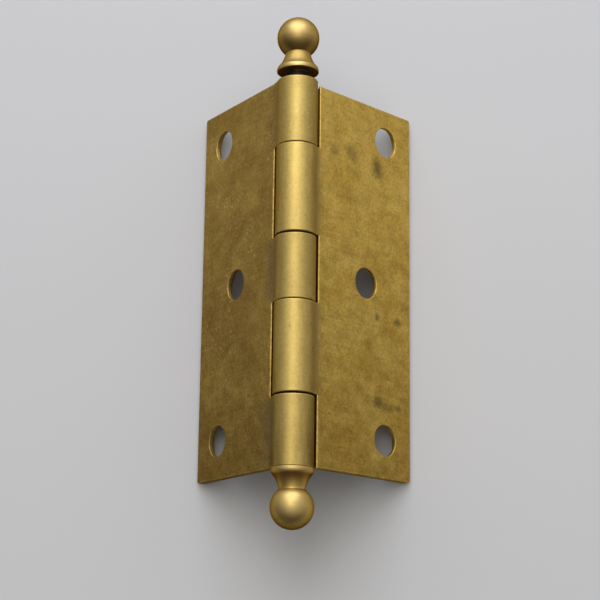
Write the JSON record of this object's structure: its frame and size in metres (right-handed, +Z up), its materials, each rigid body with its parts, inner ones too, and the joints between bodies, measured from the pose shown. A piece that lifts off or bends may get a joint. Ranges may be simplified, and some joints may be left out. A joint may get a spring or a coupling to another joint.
{
  "type": "door hinge",
  "caption": "Loose-pin butt hinge of rolled sheet brass: countersunk leaves turn on a steel pin in a knuckled barrel closed by turned ball tips.",
  "frame": {"origin": "on the ground, under the middle of the hinge's box, as it stands like a tent on the long edges of its leaves", "axes": "+Y along the pin towards the top tip, +X towards the door leaf, +Z up"},
  "size_m": [0.0422, 0.1008, 0.0265],
  "materials": {
    "rolled_brass": "satin, dulled and mottled with age",
    "turned_brass": "satin turned",
    "pin_steel": "plain drawn steel, darkened"
  },
  "bodies": {
    "frame_side": {"frame_leaf": "rolled_brass", "bottom_ball_tip": "turned_brass"},
    "door_side": {"door_leaf": "rolled_brass"},
    "pin": {"hinge_pin": "pin_steel", "top_ball_tip": "turned_brass"}
  },
  "joints": [
    {"name": "leaf_swing", "type": "hinge", "parent": "frame_side", "child": "door_side", "pos_m": [0, 0, 0.0224], "axis": [0, -1, 0], "range_deg": [-77, 178]},
    {"name": "pin_lift", "type": "slide", "parent": "frame_side", "child": "pin", "axis": [0, 1, 0], "range_m": [-0.0017, 0.069]}
  ]
}
